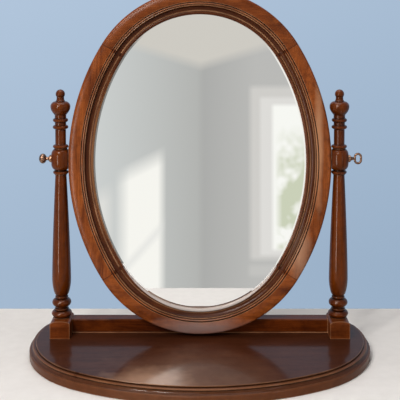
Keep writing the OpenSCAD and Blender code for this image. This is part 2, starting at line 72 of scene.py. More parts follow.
camera = bpy.data.objects.new("camera", camera_data)
camera.location = CAMERA_PLACE
camera.rotation_euler = (math.pi / 2 - LOOK_DOWN, 0, 0)
bpy.context.scene.collection.objects.link(camera)
bpy.context.scene.camera = camera
print("lens:", round(camera_data.lens, 1), "mm, tilted down", round(math.degrees(LOOK_DOWN), 1), "degrees")

# %% [markdown]
# Small helpers for materials
#
# A material is a chain of nodes, and written out in full it takes a line for each node and for each link.
# A few helpers keep the chains readable. One starts an empty material, one adds a node and sets or joins its
# inputs, and the rest are the steps that every finish here repeats: a noise, a colour ramp, a mix of two
# colours, a change of range, and sums on numbers and on places.

# %% Helpers that make nodes
def new_finish(name):
    """A material with an empty chain: only the shader and the output."""
    finish = bpy.data.materials.new(name)
    finish.use_nodes = True
    tree = finish.node_tree
    tree.nodes.clear()
    out = tree.nodes.new("ShaderNodeOutputMaterial")
    shader = tree.nodes.new("ShaderNodeBsdfPrincipled")
    tree.links.new(shader.outputs["BSDF"], out.inputs["Surface"])
    return finish, tree, shader


def add(tree, kind, settings=None, **inputs):
    """One node. settings are its fields. inputs are values or sockets, by the input's name or as _number."""
    node = tree.nodes.new(kind)
    for field, value in (settings or {}).items():
        setattr(node, field, value)
    for name, value in inputs.items():
        by_number = name[0] == "_" and name[1:].isdigit()
        socket = node.inputs[int(name[1:])] if by_number else node.inputs[name]
        if isinstance(value, bpy.types.NodeSocket):
            tree.links.new(value, socket)
        else:
            socket.default_value = value
    return node


print("node helpers:", new_finish.__name__, add.__name__)

# %% Helpers for colours
def ramp(tree, fac, *stops):
    """A colour ramp from (place, colour) stops."""
    node = tree.nodes.new("ShaderNodeValToRGB")
    tree.links.new(fac, node.inputs["Fac"])
    while len(node.color_ramp.elements) < len(stops):
        node.color_ramp.elements.new(0.5)
    for element, (place, colour) in zip(node.color_ramp.elements, stops):
        element.position = place
        element.color = (*colour, 1)
    return node.outputs["Color"]


def blend_colours(tree, fac, a, b):
    """a and b, mixed by fac. Each is a colour or a socket."""
    node = tree.nodes.new("ShaderNodeMix")
    node.data_type = "RGBA"
    for socket, value in ((node.inputs[0], fac), (node.inputs[6], a), (node.inputs[7], b)):
        if isinstance(value, bpy.types.NodeSocket):
            tree.links.new(value, socket)
        else:
            socket.default_value = (*value, 1) if isinstance(value, tuple) else value
    return node.outputs[2]


def scaled(colour, *by):
    """A colour with each of its three parts multiplied."""
    return tuple(part * factor for part, factor in zip(colour, by))


print("half of a grey:", scaled((0.5, 0.5, 0.5), 0.5, 0.5, 0.5))

# %% Helpers for numbers and places
def noise(tree, place, per_metre, detail, roughness=0.5, distortion=0.0):
    """A noise from 0 to 1. per_metre is its blotches in a metre, and detail says how fine it goes."""
    return add(tree, "ShaderNodeTexNoise", Vector=place, Scale=per_metre, Detail=detail, Roughness=roughness,
               Distortion=distortion).outputs["Fac"]


def stretch(tree, low, high, value, to_low=0.0, to_high=1.0):
    """Carries a value from the range low to high over to another range, and clamps it."""
    return add(tree, "ShaderNodeMapRange", {"clamp": True}, Value=value, **{
        "From Min": low, "From Max": high, "To Min": to_low, "To Max": to_high}).outputs["Result"]


def reckon(tree, how, a, b):
    """One sum on two values, such as MULTIPLY."""
    return add(tree, "ShaderNodeMath", {"operation": how}, _0=a, _1=b).outputs[0]


def reckon_places(tree, how, a, b=(0, 0, 0)):
    """One sum on two places, such as SUBTRACT. A LENGTH or a DOT_PRODUCT comes out as a number."""
    node = add(tree, "ShaderNodeVectorMath", {"operation": how}, _0=a, _1=b)
    return node.outputs["Value" if how in ("LENGTH", "DOT_PRODUCT") else "Vector"]


def object_place(tree):
    """Where a point of the piece is, in metres from the origin."""
    return add(tree, "ShaderNodeTexCoord").outputs["Object"]


def mapped(tree, place, **inputs):
    """A place that is moved, turned or squeezed."""
    return add(tree, "ShaderNodeMapping", Vector=place, **inputs).outputs["Vector"]


print("sums by:", reckon.__name__, "and", reckon_places.__name__)

# %% [markdown]
# The figure of mahogany
#
# Mahogany has broad, soft ribbons of colour, finer streaks, and over them short dark pores drawn out along
# the grain. A photograph of a board would show one board again and again. Noise that is squeezed across the
# grain gives as many boards as there are pieces, so that is used, each pattern at its real size: ribbons
# about 13 mm wide, streaks of about 1 mm, pores of a third of a millimetre, and two unsqueezed mottles of
# about 45 and 12 mm.
#
# The grain runs straight along each piece, also on the curved pieces of the frame, so its direction is a
# setting. Each piece starts its patterns somewhere else, as if it were cut from a board of its own.

# %% Patterns of the wood
GRAIN_TURN = {"x": (0, 0, 0), "z": (0, math.pi / 2, 0)}
RIBBON_SQUEEZE = 7
FINE_SQUEEZE = 18
# Each noise: its blotches in a metre along the grain, its detail, its roughness, and its distortion if any
RIBBONS = (11, 4, 0.6, 0.8)
STREAKS = (44, 3, 0.6)
PORES = (190, 2, 0.6)
CLOUDS = (22, 3, 0.6)
MOTTLES = (85, 3, 0.65)


def wood_patterns(tree, place, grain, start):
    """The noises that the wood is mixed from, for a grain along the axis x or z."""
    along = mapped(tree, place, Location=start, Rotation=GRAIN_TURN[grain])
    broad = mapped(tree, along, Scale=(1, RIBBON_SQUEEZE, RIBBON_SQUEEZE))
    fine = mapped(tree, along, Scale=(1, FINE_SQUEEZE, FINE_SQUEEZE))
    return {
        "ribbon": noise(tree, broad, *RIBBONS),
        "streak": noise(tree, fine, *STREAKS),
        "pore": noise(tree, fine, *PORES),
        "cloud": noise(tree, along, *CLOUDS),
        "mottle": noise(tree, along, *MOTTLES),
    }


print("ribbons:", round(1000 / RIBBONS[0] / RIBBON_SQUEEZE), "mm wide")
print("pores:", round(1000 / PORES[0] / FINE_SQUEEZE, 1), "mm wide")

# %% [markdown]
# The colour of mahogany
#
# Three tones make a figure: a dark, a middle and a pale one. The ribbons choose between them through a
# ramp, and each finer pattern is a veil of a darker or paler tone over what is there. A veil has the noise
# at which it begins to show, the noise at which it is full, and how strong it is then.

# %% Colour of the wood
RAMP_REACH = 0.22
CLOUDED = (1.0, 0.88, 0.7)
PORE_SHADE = (0.4, 0.35, 0.35)
CLOUD_VEIL = (0.45, 0.68, 0.5)
MOTTLE_VEIL = (0.50, 0.72, 0.5)
STREAK_VEIL = (0.48, 0.66, 0.32)
PORE_STRENGTH = 0.4


def veil(tree, pattern, shows, full, most, figure):
    """How strongly a pattern lies over the colour under it."""
    return stretch(tree, shows, full, pattern, 0, most * figure)


def figured_colour(tree, patterns, pore, dark, rich, pale, figure):
    """The colour of the bare figure. figure says how lively it is."""
    reach = RAMP_REACH / figure
    clouded = scaled(pale, *CLOUDED)
    colour = ramp(tree, patterns["ribbon"], (0.5 - reach, dark), (0.5, rich), (0.5 + reach, pale))
    colour = blend_colours(tree, veil(tree, patterns["cloud"], *CLOUD_VEIL, figure), colour, clouded)
    colour = blend_colours(tree, veil(tree, patterns["mottle"], *MOTTLE_VEIL, figure), colour, dark)
    colour = blend_colours(tree, veil(tree, patterns["streak"], *STREAK_VEIL, figure), colour, dark)
    pores = reckon(tree, "MULTIPLY", pore, PORE_STRENGTH * figure)
    return blend_colours(tree, pores, colour, scaled(dark, *PORE_SHADE))


print("veils:", CLOUD_VEIL, MOTTLE_VEIL, STREAK_VEIL)

# %% [markdown]
# Places of painted light and shade
#
# Some places are painted paler or darker than the figure alone would make them. The grey-brown patch on the
# front of the base is a painted pool of light, thrown there by the glass. Paler patches on the frame's band
# are painted sheen, and a thin gilt line and a silvery line on the lip of the frame are painted highlights.
# The cove beside the lip is darker: painted shade. Each such place is an ellipsoid, given by its centre and
# its reach, with an edge that the noise of the wood makes uneven. Painting on the surface would do it too,
# but an ellipsoid needs no picture and stays with the piece when it moves.
#
# The base has one more: its moulded edge, below the top face, is paler than the top. This is painted light,
# on faces that turn towards the lamps in front.

# %% Places of painted light and shade
UNEVEN_FROM = (0.3, 0.7)
UNEVEN_BY = 0.28
BASE_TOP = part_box("base_board")[1].z
MOULDING_TOP = BASE_TOP - 0.0006
MOULDING_FULL = BASE_TOP - 0.0012
MOULDING_STRENGTH = 0.9
MOULDING_SHADE = (0.5, 0.45, 0.4)
MOULDING_VEIL = (0.40, 0.65, 0.9)


def with_painted_light(tree, place, cloud, colour, toned):
    """Paints light and shade in places. Each has its centre, reach, softness, strength and tone."""
    uneven = stretch(tree, *UNEVEN_FROM, cloud, -UNEVEN_BY, UNEVEN_BY)
    for centre, reach, soft, most, tone in toned:
        away = reckon_places(tree, "SUBTRACT", place, centre)
        length = reckon_places(tree, "LENGTH", reckon_places(tree, "DIVIDE", away, reach))
        gap = reckon(tree, "ADD", length, reckon(tree, "MULTIPLY", uneven, soft))
        colour = blend_colours(tree, stretch(tree, 1.0, 1.0 - soft, gap, 0, most), colour, tone)
    return colour


def with_lit_moulded_edge(tree, place, mottle, colour, edge_tone, figure):
    """Gives what lies below the top face of the base a paler tone of its own: painted light."""
    height = add(tree, "ShaderNodeSeparateXYZ", Vector=place).outputs["Z"]
    deeper = scaled(edge_tone, *MOULDING_SHADE)
    mottled = blend_colours(tree, veil(tree, mottle, *MOULDING_VEIL, figure), edge_tone, deeper)
    below = stretch(tree, MOULDING_TOP, MOULDING_FULL, height, 0, MOULDING_STRENGTH)
    return blend_colours(tree, below, colour, mottled)


print("top face of the base at", round(BASE_TOP, 4))

# %% [markdown]
# Joints of the frame, and a seam in the base
#
# The oval is drawn with four arcs and made of four curved pieces, jointed on the lines through the arcs'
# centres. Each joint shows as a thin dark line. A material can work out how far a point is from those lines:
# the place is turned upright, folded into one quarter of the oval, and measured from the one line there.
# The angle and the centre are the ones that the oval was drawn with.
#
# The base is one board, but its solid has a seam of no width inside, where its left end meets its bow. The
# search for edges below would find it and wear it pale, so wear is kept off that line.

# %% Distance from a joint
tilt = next(joint for joint in frame["joints"] if joint["name"] == "mirror_tilt")
PIVOT_HEIGHT = tilt["pos_m"][2]
LEAN_BACK = math.radians(2.2)
OVAL_DROP = 0.004
JOINT_ANGLE = math.radians(31.8908)
JOINT_CENTRE = 0.0812
SEAM_PLACE = (-0.08333, -0.009, 0)
SEAM_ANGLE = math.radians(60)


def frame_joint(tree, place):
    """How far a point is from the nearest of the frame's four joints."""
    from_pivot = reckon_places(tree, "SUBTRACT", place, (0, 0, PIVOT_HEIGHT))
    upright = mapped(tree, from_pivot, Rotation=(LEAN_BACK, 0, 0))
    split = add(tree, "ShaderNodeSeparateXYZ", Vector=upright)
    across = reckon(tree, "ABSOLUTE", split.outputs["X"], 0.0)
    up = reckon(tree, "ABSOLUTE", reckon(tree, "ADD", split.outputs["Z"], OVAL_DROP), 0.0)
    rise = reckon(tree, "MULTIPLY", reckon(tree, "SUBTRACT", up, JOINT_CENTRE), math.cos(JOINT_ANGLE))
    run = reckon(tree, "MULTIPLY", across, math.sin(JOINT_ANGLE))
    return reckon(tree, "ABSOLUTE", reckon(tree, "SUBTRACT", run, rise), 0.0)


def base_seam(tree, place):
    """How far a point is from the seam inside the base."""
    from_seam = reckon_places(tree, "SUBTRACT", place, SEAM_PLACE)
    sideways = (math.sin(SEAM_ANGLE), -math.cos(SEAM_ANGLE), 0)
    return reckon(tree, "ABSOLUTE", reckon_places(tree, "DOT_PRODUCT", from_seam, sideways), 0.0)


print("the mirror swings at", PIVOT_HEIGHT, "and leans back by", round(math.degrees(LEAN_BACK), 1), "degrees")

# %% [markdown]
# Hollows and worn edges
#
# Dark wax stays in the grooves, and the polish wears through on the high edges. The grooves are also darkened
# with painted shade. An ambient occlusion node finds both the grooves and the edges. Looking outwards it says
# how open a point is, so it is dark in a groove. Looking inwards it says how much wood lies behind a point,
# and there is least at an edge. A bevel node is the other usual way to find edges. Here one helper, looking
# outwards or inwards, serves for both.

# %% Hollows and edges
# Grooves get wax and painted shade, and worn edges get a paler tone
HOLLOW_RANGE = (0.50, 0.99)
HOLLOW_STRENGTH = 0.97
WAX_AND_PAINTED_SHADE = (0.10, 0.07, 0.07)
EDGE_REACH = 0.002
EDGE_RANGE = (0.86, 0.60)
WORN_PATCHES = (0.40, 0.62)
LEAST_WEAR = 0.45
WORN_TONE = (0.40, 0.20, 0.10)
LINE_RANGE = (0.0002, 0.0008)
LINE_SHADE = (0.3, 0.3, 0.3)
WEAR_OFF_RANGE = (0.0022, 0.0034)


def openness(tree, reach, samples=10, inside=False):
    """How open a point is, from 0 to 1. With inside it looks into the piece, and an edge is dark."""
    settings = {"samples": samples, "only_local": True, "inside": inside}
    return add(tree, "ShaderNodeAmbientOcclusion", settings, Distance=reach).outputs["AO"]


def hollows(tree, reach):
    """How dark the wax and the painted shade make a point: most deep in a groove, not at all in the open."""
    return stretch(tree, *HOLLOW_RANGE, openness(tree, reach), HOLLOW_STRENGTH, 0)


def worn_edges(tree, cloud, wear):
    """How far the polish is worn through, in patches along the edges."""
    edge = stretch(tree, *EDGE_RANGE, openness(tree, EDGE_REACH, inside=True))
    patch = stretch(tree, *WORN_PATCHES, cloud, LEAST_WEAR * wear, wear)
    return reckon(tree, "MULTIPLY", edge, patch)


print("edges are looked for", EDGE_REACH * 1000, "mm deep")

# %% [markdown]
# Polished mahogany, put together
#
# French polish is a clear, slightly amber film over the wood. The body of the shader is the wood itself,
# satin, with a weak highlight tinted red by the film. A clear coat lies over it and carries the crisp
# highlights. One shiny layer alone would look like plastic, because the wood under it would have no depth.
#
# The order of the layers is: figure, places of painted light and shade, wax and painted shade in the hollows,
# the line of a joint, and last the wear.

# %% Mahogany
PORE_SHOWS = (0.54, 0.70)
PORE_ROUGHER = 0.14
PORE_DEPTH = 0.0002
BUMP_STRENGTH = 0.2
FILM_TINT = (1.0, 0.34, 0.08, 1)
COAT_IOR = 1.4


def mahogany(name, grain, start, tones, figure=1.0, wear=0.7, body_rough=0.45, coat=0.3, coat_rough=0.2,
             shine=0.06, joint=None, joint_line=0.0, toned=(), edge_tone=None, hollow_reach=0.012):
    """A polished wood. grain is the axis it runs along, and start is where its patterns begin."""
    finish, tree, shader = new_finish(name)
    dark, rich, pale = tones
    place = object_place(tree)
    patterns = wood_patterns(tree, place, grain, start)
    pore = stretch(tree, *PORE_SHOWS, patterns["pore"])

    colour = figured_colour(tree, patterns, pore, dark, rich, pale, figure)
    # Painted light and shade in places: sheen, highlights, a pool of light and a shaded cove
    colour = with_painted_light(tree, place, patterns["cloud"], colour, toned)
    # The moulded edge of the base is painted lighter
    if edge_tone:
        colour = with_lit_moulded_edge(tree, place, patterns["mottle"], colour, edge_tone, figure)
    # Wax and painted shade darken the hollows
    colour = blend_colours(tree, hollows(tree, hollow_reach), colour, scaled(dark, *WAX_AND_PAINTED_SHADE))

    worn = worn_edges(tree, patterns["cloud"], wear)
    if joint:
        gap = joint(tree, place)
        worn = reckon(tree, "MULTIPLY", worn, stretch(tree, *WEAR_OFF_RANGE, gap))
        line = stretch(tree, *LINE_RANGE, gap, joint_line, 0)
        colour = blend_colours(tree, line, colour, scaled(dark, *LINE_SHADE))
    colour = blend_colours(tree, worn, colour, WORN_TONE)

    rough = stretch(tree, 0, 1, pore, body_rough, body_rough + PORE_ROUGHER)
    bump = add(tree, "ShaderNodeBump", {"invert": True}, Height=pore, Strength=BUMP_STRENGTH * figure,
               Distance=PORE_DEPTH)
    tree.links.new(colour, shader.inputs["Base Color"])
    tree.links.new(rough, shader.inputs["Roughness"])
    tree.links.new(bump.outputs[0], shader.inputs["Normal"])
    shader.inputs["Specular IOR Level"].default_value = shine
    shader.inputs["Specular Tint"].default_value = FILM_TINT
    shader.inputs["Coat Weight"].default_value = coat
    shader.inputs["Coat Roughness"].default_value = coat_rough
    shader.inputs["Coat IOR"].default_value = COAT_IOR
    return finish


print("mahogany ready, with a coat of index", COAT_IOR)

# %% [markdown]
# The boards
#
# The pieces have tones of their own. The sides and the foot of the frame are the most orange, its top is
# darker, the posts are redder, and the base is the darkest and has the highest polish. The left block has the
# right one's tones made lighter: painted light, as the light falls from the left. A cabinetmaker would see a
# board as one colour with its figure in it, so each board is given here by its middle tone, and the dark and
# the pale one follow from that.

# %% Tones of the boards
DARK_SHARE = (0.34, 0.26, 0.30)
PALE_SHARE = (1.65, 1.85, 1.9)


def figure_tones(red, green, blue):
    """The dark, the middle and the pale of a figure, from its middle tone."""
    rich = (red, green, blue)
    return scaled(rich, *DARK_SHARE), rich, scaled(rich, *PALE_SHARE)


def lighter(tones, by):
    """The same three tones, all made lighter."""
    return [scaled(tone, by, by, by) for tone in tones]


BAND = figure_tones(0.205, 0.050, 0.010)
BAND_TOP = figure_tones(0.145, 0.034, 0.007)
TURNED = figure_tones(0.092, 0.0175, 0.0010)
BLOCK = figure_tones(0.110, 0.025, 0.005)
# The left block is the right one's tones made lighter: painted light from the left
LEFT_BLOCK_LIT = lighter(BLOCK, 1.3)
RAIL = figure_tones(0.085, 0.016, 0.002)
BASE = figure_tones(0.046, 0.0125, 0.005)
# The base's moulded edge is paler: painted light on its front
BASE_EDGE_LIT = (0.115, 0.036, 0.012)
print("middle tone of the band:", BAND[1])

# %% [markdown]
# Strips that follow the rim of the glass
#
# The moulding of the frame runs round the glass: first the lip, then a cove, two beads and the broad band. A
# strip of painted highlight or painted shade on it has to follow the oval, so it is drawn from the centres of
# the oval's own four arcs, which lie where the joints' lines cross. A strip is a place of painted light that
# is as large as its arc, with a soft edge only a millimetre or so wide, and it reaches so far in depth that
# only its outline counts. Beside a joint it may be squeezed a little, so that its end runs out instead of
# stopping short.

# %% Arcs of the rim
OVAL_MIDDLE = PIVOT_HEIGHT - OVAL_DROP
SIDE_CENTRE = JOINT_CENTRE / math.tan(JOINT_ANGLE)
# Both radii reach to the edge of the lip, where the glass begins
END_RADIUS = 0.1278
SIDE_RADIUS = END_RADIUS + JOINT_CENTRE / math.sin(JOINT_ANGLE)
ANY_DEPTH = 1000

LEFT_ARC = ((SIDE_CENTRE, 0, OVAL_MIDDLE), SIDE_RADIUS)
RIGHT_ARC = ((-SIDE_CENTRE, 0, OVAL_MIDDLE), SIDE_RADIUS)
TOP_ARC = ((0, 0, OVAL_MIDDLE + JOINT_CENTRE), END_RADIUS)
FOOT_ARC = ((0, 0, OVAL_MIDDLE - JOINT_CENTRE), END_RADIUS)


def along_rim(centre, radius, width, soft, most, tone, squeeze_x=1.0, squeeze_z=1.0):
    """A strip of painted highlight or painted shade along one arc of the frame, from the glass outwards by
    its width.
    """
    reach = radius + width
    return (centre, (reach * squeeze_x, ANY_DEPTH, reach * squeeze_z), soft / reach, most, tone)


print("radius of the sides:", round(SIDE_RADIUS, 4), "and of the ends:", END_RADIUS)

# %% [markdown]
# Painted light and shade, piece by piece
#
# Every piece of the frame has its cove darkened with painted shade. The lip has a painted gilt highlight on
# the left side and a painted silvery highlight at the foot. The foot has a paler patch of painted sheen on
# its band, the right side has two, and the base has two patches of painted light on its front, a broad one
# with a smaller and paler one in it.
#
# Each such place is written as its centre, its reach, how soft and how strong it is, and its tone.

# %% Painted light and shade on the frame and the base
# The cove's tone is painted shade, and the gilt and silver tones are painted highlights on the lip
COVE_SHADE_TONE = (0.036, 0.008, 0.002)
GILT_HIGHLIGHT_TONE = (0.34, 0.16, 0.065)
SILVER_HIGHLIGHT_TONE = (0.50, 0.45, 0.42)
# Each strip: how far from the glass it reaches, how soft its edge is, how strong it is, and its tone
COVE_SHADE = (0.0138, 0.0012, 0.72, COVE_SHADE_TONE)
GILT_HIGHLIGHT = (0.0030, 0.0014, 0.6, GILT_HIGHLIGHT_TONE)
SILVER_HIGHLIGHT = (0.0042, 0.0012, 0.9, SILVER_HIGHLIGHT_TONE)

TOP_PAINTED_LIGHT = (along_rim(*TOP_ARC, *COVE_SHADE),)
LEFT_PAINTED_LIGHT = (along_rim(*LEFT_ARC, *COVE_SHADE), along_rim(*LEFT_ARC, *GILT_HIGHLIGHT, squeeze_z=0.963))
RIGHT_PAINTED_LIGHT = (
    # Two patches of painted sheen on the inner part of the band, then the cove's painted shade
    ((0.167, 0, 0.300), (0.008, 1, 0.120), 0.7, 0.7, (0.46, 0.23, 0.12)),
    ((0.140, 0, 0.148), (0.018, 1, 0.060), 0.9, 0.6, (0.42, 0.25, 0.16)),
    along_rim(*RIGHT_ARC, *COVE_SHADE),
)
FOOT_PAINTED_LIGHT = (
    # A patch of painted sheen low on the band, the cove's painted shade and the lip's painted silvery
    # highlight
    ((0.01, 0, 0.034), (0.095, 1, 0.020), 0.8, 0.8, (0.24, 0.165, 0.150)),
    along_rim(*FOOT_ARC, *COVE_SHADE),
    along_rim(*FOOT_ARC, *SILVER_HIGHLIGHT, squeeze_x=0.96),
)
BASE_PAINTED_LIGHT = (
    # Painted light on the front of the base, thrown there by the glass: a broad patch and a smaller, paler
    # one
    ((-0.010, -0.180, 0.02), (0.135, 0.145, 0.05), 0.8, 0.55, (0.150, 0.070, 0.042)),
    ((-0.066, -0.168, 0.02), (0.075, 0.055, 0.05), 0.8, 0.75, (0.340, 0.195, 0.125)),
)
print("toned places:", sum(map(len, (TOP_PAINTED_LIGHT, LEFT_PAINTED_LIGHT, RIGHT_PAINTED_LIGHT, FOOT_PAINTED_LIGHT, BASE_PAINTED_LIGHT))))

# %% [markdown]
# Dressing the wooden pieces
#
# What the pieces of the frame have in common is set once, and so is what the two posts share. The posts
# came off the lathe with sharp, bright beads, so they have little wear and the smoothest coat after the
# base's. The frame is handled most: it has more wear, and a coat that has gone a little dull.

# %% Wooden pieces
# The frame and the posts look farther for hollows, so their painted shade reaches deeper into the cove and
# the necks
FRAME_POLISH = {"wear": 0.8, "coat": 0.40, "coat_rough": 0.24, "hollow_reach": 0.020,
                "joint": frame_joint, "joint_line": 0.7}
POST_POLISH = {"wear": 0.25, "coat": 0.38, "coat_rough": 0.12, "hollow_reach": 0.018,
               "figure": 0.8, "body_rough": 0.38, "shine": 0.20}
BASE_POLISH = {"wear": 0.8, "coat": 0.37, "coat_rough": 0.11, "figure": 0.4,
               "joint": base_seam, "toned": BASE_PAINTED_LIGHT, "edge_tone": BASE_EDGE_LIT}


def dress(node, finish):
    """Gives a ready-made solid its finish."""
    skin = nodes[node].data
    skin.materials.clear()
    skin.materials.append(finish)


# Each piece: the name of its board, the grain's axis, where its patterns start, its tones and its settings
WOODEN = {
    "frame_top": ("frame_top", "x", (0.3, 0.1, 0.0), BAND_TOP, FRAME_POLISH | {"toned": TOP_PAINTED_LIGHT}),
    "frame_bottom": ("frame_bottom", "x", (0.7, 0.4, 0.2), BAND, FRAME_POLISH | {"toned": FOOT_PAINTED_LIGHT}),
    "frame_left": ("frame_left", "z", (0.1, 0.6, 0.5), BAND, FRAME_POLISH | {"toned": LEFT_PAINTED_LIGHT}),
    "frame_right": ("frame_right", "z", (0.9, 0.2, 0.8), BAND, FRAME_POLISH | {"toned": RIGHT_PAINTED_LIGHT}),
    "left_post": ("left_post", "z", (0.2, 0.3, 0.4), TURNED, POST_POLISH),
    "right_post": ("right_post", "z", (0.6, 0.7, 0.1), TURNED, POST_POLISH),
    "left_block": ("left_block", "x", (0.5, 0.8, 0.9), LEFT_BLOCK_LIT, {"wear": 0.45}),
    "right_block": ("right_block", "x", (0.8, 0.5, 0.3), BLOCK, {"wear": 0.45}),
    "cross_rail": ("rail", "x", (0.4, 0.9, 0.6), RAIL, {"wear": 0.6}),
    "base_board": ("base", "x", (0.0, 0.0, 0.0), BASE, BASE_POLISH),
}
for node, (board, grain, start, tones, settings) in WOODEN.items():
    dress(node, mahogany("mahogany_" + board, grain, start, tones, **settings))
print("wooden pieces:", len(WOODEN))

# %% [markdown]
# Old brass and steel
#
# The little fittings are old brass: brown where nobody touches them and brighter where fingers turn them.
# A metal's base colour is the colour of its reflection, so a darker one would only make a darker mirror.
# The tarnish is therefore a second colour that is rougher as well, mixed in by noise, and by the hollows
# that a cloth can't reach.

# %% Metals
TARNISH = (160, 4, 0.65)
TARNISH_SHOWS = (0.4, 0.68)
CLOTH_REACH = 0.003
UNREACHED = (0.4, 0.95)


def metal(name, bright, tarnish, smooth, rough):
    """A metal that is bright where it is rubbed and tarnished elsewhere."""
    finish, tree, shader = new_finish(name)
    aged = stretch(tree, *TARNISH_SHOWS, noise(tree, object_place(tree), *TARNISH))
    hollow = stretch(tree, *UNREACHED, openness(tree, CLOTH_REACH, samples=6), 1, 0)
    dirty = reckon(tree, "MAXIMUM", aged, hollow)
    tree.links.new(blend_colours(tree, dirty, bright, tarnish), shader.inputs["Base Color"])
    tree.links.new(stretch(tree, 0, 1, dirty, smooth, rough), shader.inputs["Roughness"])
    shader.inputs["Metallic"].default_value = 1
    return finish


BRASS_NODES = ("left_thumb_screw", "right_thumb_screw", "left_collar", "right_collar",
               "left_washer", "right_washer", "left_pivot_plate", "right_pivot_plate",
               "pivot_plate_screws", "backing_screws")
STEEL_NODES = ("block_screws", "rail_screws")

aged_brass = metal("aged_brass", (0.34, 0.19, 0.12), (0.085, 0.038, 0.022), smooth=0.20, rough=0.40)
screw_steel = metal("screw_steel", (0.55, 0.55, 0.56), (0.22, 0.20, 0.18), smooth=0.35, rough=0.6)
for node in BRASS_NODES:
    dress(node, aged_brass)
for node in STEEL_NODES:
    dress(node, screw_steel)
print("brass:", len(BRASS_NODES), "steel:", len(STEEL_NODES))

# %% [markdown]
# Plain wood
#
# The board behind the glass and the dowels in the frame's joints were never meant to be seen. They are bare
# wood, paler and dull, so one streaked noise along the grain is enough for them, with a bump from the same
# noise for the raised grain.

# %% Backing board and dowels
PLAIN_SQUEEZE = 14
PLAIN_STREAKS = (11, 5, 0.65)
PLAIN_ROUGHNESS = 0.7
RAISED_GRAIN = 0.0003


def plain_wood(name, grain, dark, pale):
    """Bare wood: streaks along the grain, and no polish."""
    finish, tree, shader = new_finish(name)
    along = mapped(tree, object_place(tree), Rotation=GRAIN_TURN[grain])
    squeezed = mapped(tree, along, Scale=(1, PLAIN_SQUEEZE, PLAIN_SQUEEZE))
    streak = noise(tree, squeezed, *PLAIN_STREAKS)
    bump = add(tree, "ShaderNodeBump", Height=streak, Strength=BUMP_STRENGTH, Distance=RAISED_GRAIN)
    tree.links.new(ramp(tree, streak, (0.3, dark), (0.7, pale)), shader.inputs["Base Color"])
    tree.links.new(bump.outputs[0], shader.inputs["Normal"])
    shader.inputs["Roughness"].default_value = PLAIN_ROUGHNESS
    return finish


dress("backing_board", plain_wood("back_board_wood", "z", (0.20, 0.12, 0.06), (0.34, 0.22, 0.12)))
dress("frame_dowels", plain_wood("dowel_wood", "x", (0.42, 0.28, 0.15), (0.58, 0.42, 0.25)))
print("plain wood: backing_board, frame_dowels")

# %% [markdown]
# The glass
#
# A mirror is silver behind glass. A glass shader over a silver sheet would be the literal way, but seen from
# the front the two together behave like a perfect metal. So the finish is a metallic shader with almost no
# roughness, and a faint haze. The ground bevel is part of the solid's shape, and it throws its own bright
# line because it faces another way.

# %% Mirror glass
HAZE = (26, 3)
HAZE_SHOWS = (0.55, 0.8)
HAZE_ROUGHNESS = 0.03
SILVER_COLOUR = (0.93, 0.935, 0.93, 1)

silvered, tree, shader = new_finish("silvered_glass")
haze = noise(tree, object_place(tree), *HAZE)
tree.links.new(stretch(tree, *HAZE_SHOWS, haze, 0.0, HAZE_ROUGHNESS), shader.inputs["Roughness"])
shader.inputs["Base Color"].default_value = SILVER_COLOUR
shader.inputs["Metallic"].default_value = 1
dress("mirror_glass", silvered)
print("dressed in all:", len(WOODEN) + len(BRASS_NODES) + len(STEEL_NODES) + 3, "of", len(nodes))

# %% [markdown]
# The table
#
# The mirror stands on a pale table. Its far edge draws the straight line behind the base, so the table has
# to end there, and a floor without an end wouldn't do. It is a broad slab from a cube, stretched, with its
# edges rounded by a bevel, painted in a warm white with a faint speckle.

# %% Table
TABLE_WIDTH = 10
TABLE_FRONT = -0.385
TABLE_BACK = 0.165
TABLE_THICK = 0.03
TABLE_ROUND = 0.002
SPECKLE = (60, 3)
TABLE_TONES = ((0.3, (0.760, 0.730, 0.705)), (0.7, (0.800, 0.770, 0.745)))
TABLE_ROUGHNESS = 0.9


def staged(name, form, finish):
    """Turns a bmesh into an object of the stage, with its finish."""
    mesh = bpy.data.meshes.new(name)
    form.to_mesh(mesh)
    form.free()
    mesh.materials.append(finish)
    item = bpy.data.objects.new(name, mesh)
    bpy.context.scene.collection.objects.link(item)
    return item


slab = bmesh.new()
middle = Vector((0, (TABLE_FRONT + TABLE_BACK) / 2, -TABLE_THICK / 2))
size = Matrix.Diagonal((TABLE_WIDTH, TABLE_BACK - TABLE_FRONT, TABLE_THICK, 1))
bmesh.ops.create_cube(slab, size=1, matrix=Matrix.Translation(middle) @ size)
bmesh.ops.bevel(slab, geom=slab.edges[:], offset=TABLE_ROUND, offset_type="OFFSET", affect="EDGES",
                segments=3, profile=0.5, material=-1)

table_paint, tree, shader = new_finish("table_paint")
speckle = noise(tree, object_place(tree), *SPECKLE)
tree.links.new(ramp(tree, speckle, *TABLE_TONES), shader.inputs["Base Color"])
shader.inputs["Roughness"].default_value = TABLE_ROUGHNESS
table = staged("table", slab, table_paint)
print("table:", [round(side, 3) for side in table.dimensions])

# %% [markdown]
# What the glass shows
#
# A mirror shows whatever stands in front of it, so the space behind the camera matters as much as the
# backdrop. Three metres away stands a plain wall, painted in soft tones by one material. Its shapes could be
# solids, but those would have to be lit as well. The wall glows by itself, so that what the glass shows
# doesn't depend on the lamps, and only reflections see it.
#
# It is painted from the back forwards. First come two greys that meet in a corner under a paler ceiling.
# Across is X on the wall and up is Z, both in metres.

# %% Wall: two greys and a ceiling
CORNER = (-0.026, 0.010)
CORNER_MIDDLE = 0.008
LEFT_SHADING = (-0.5, 0.0)
LEFT_GREYS = ((0.640, 0.665, 0.660), (0.475, 0.480, 0.465))
RIGHT_SHADING = (0.0, 0.25)
RIGHT_GREYS = ((0.440, 0.442, 0.432), (0.525, 0.522, 0.508))
CEILING_EDGE = 0.405
CEILING_SLOPE = 0.30
CEILING_SOFT = 0.025
CEILING_TONE = (0.66, 0.635, 0.585)

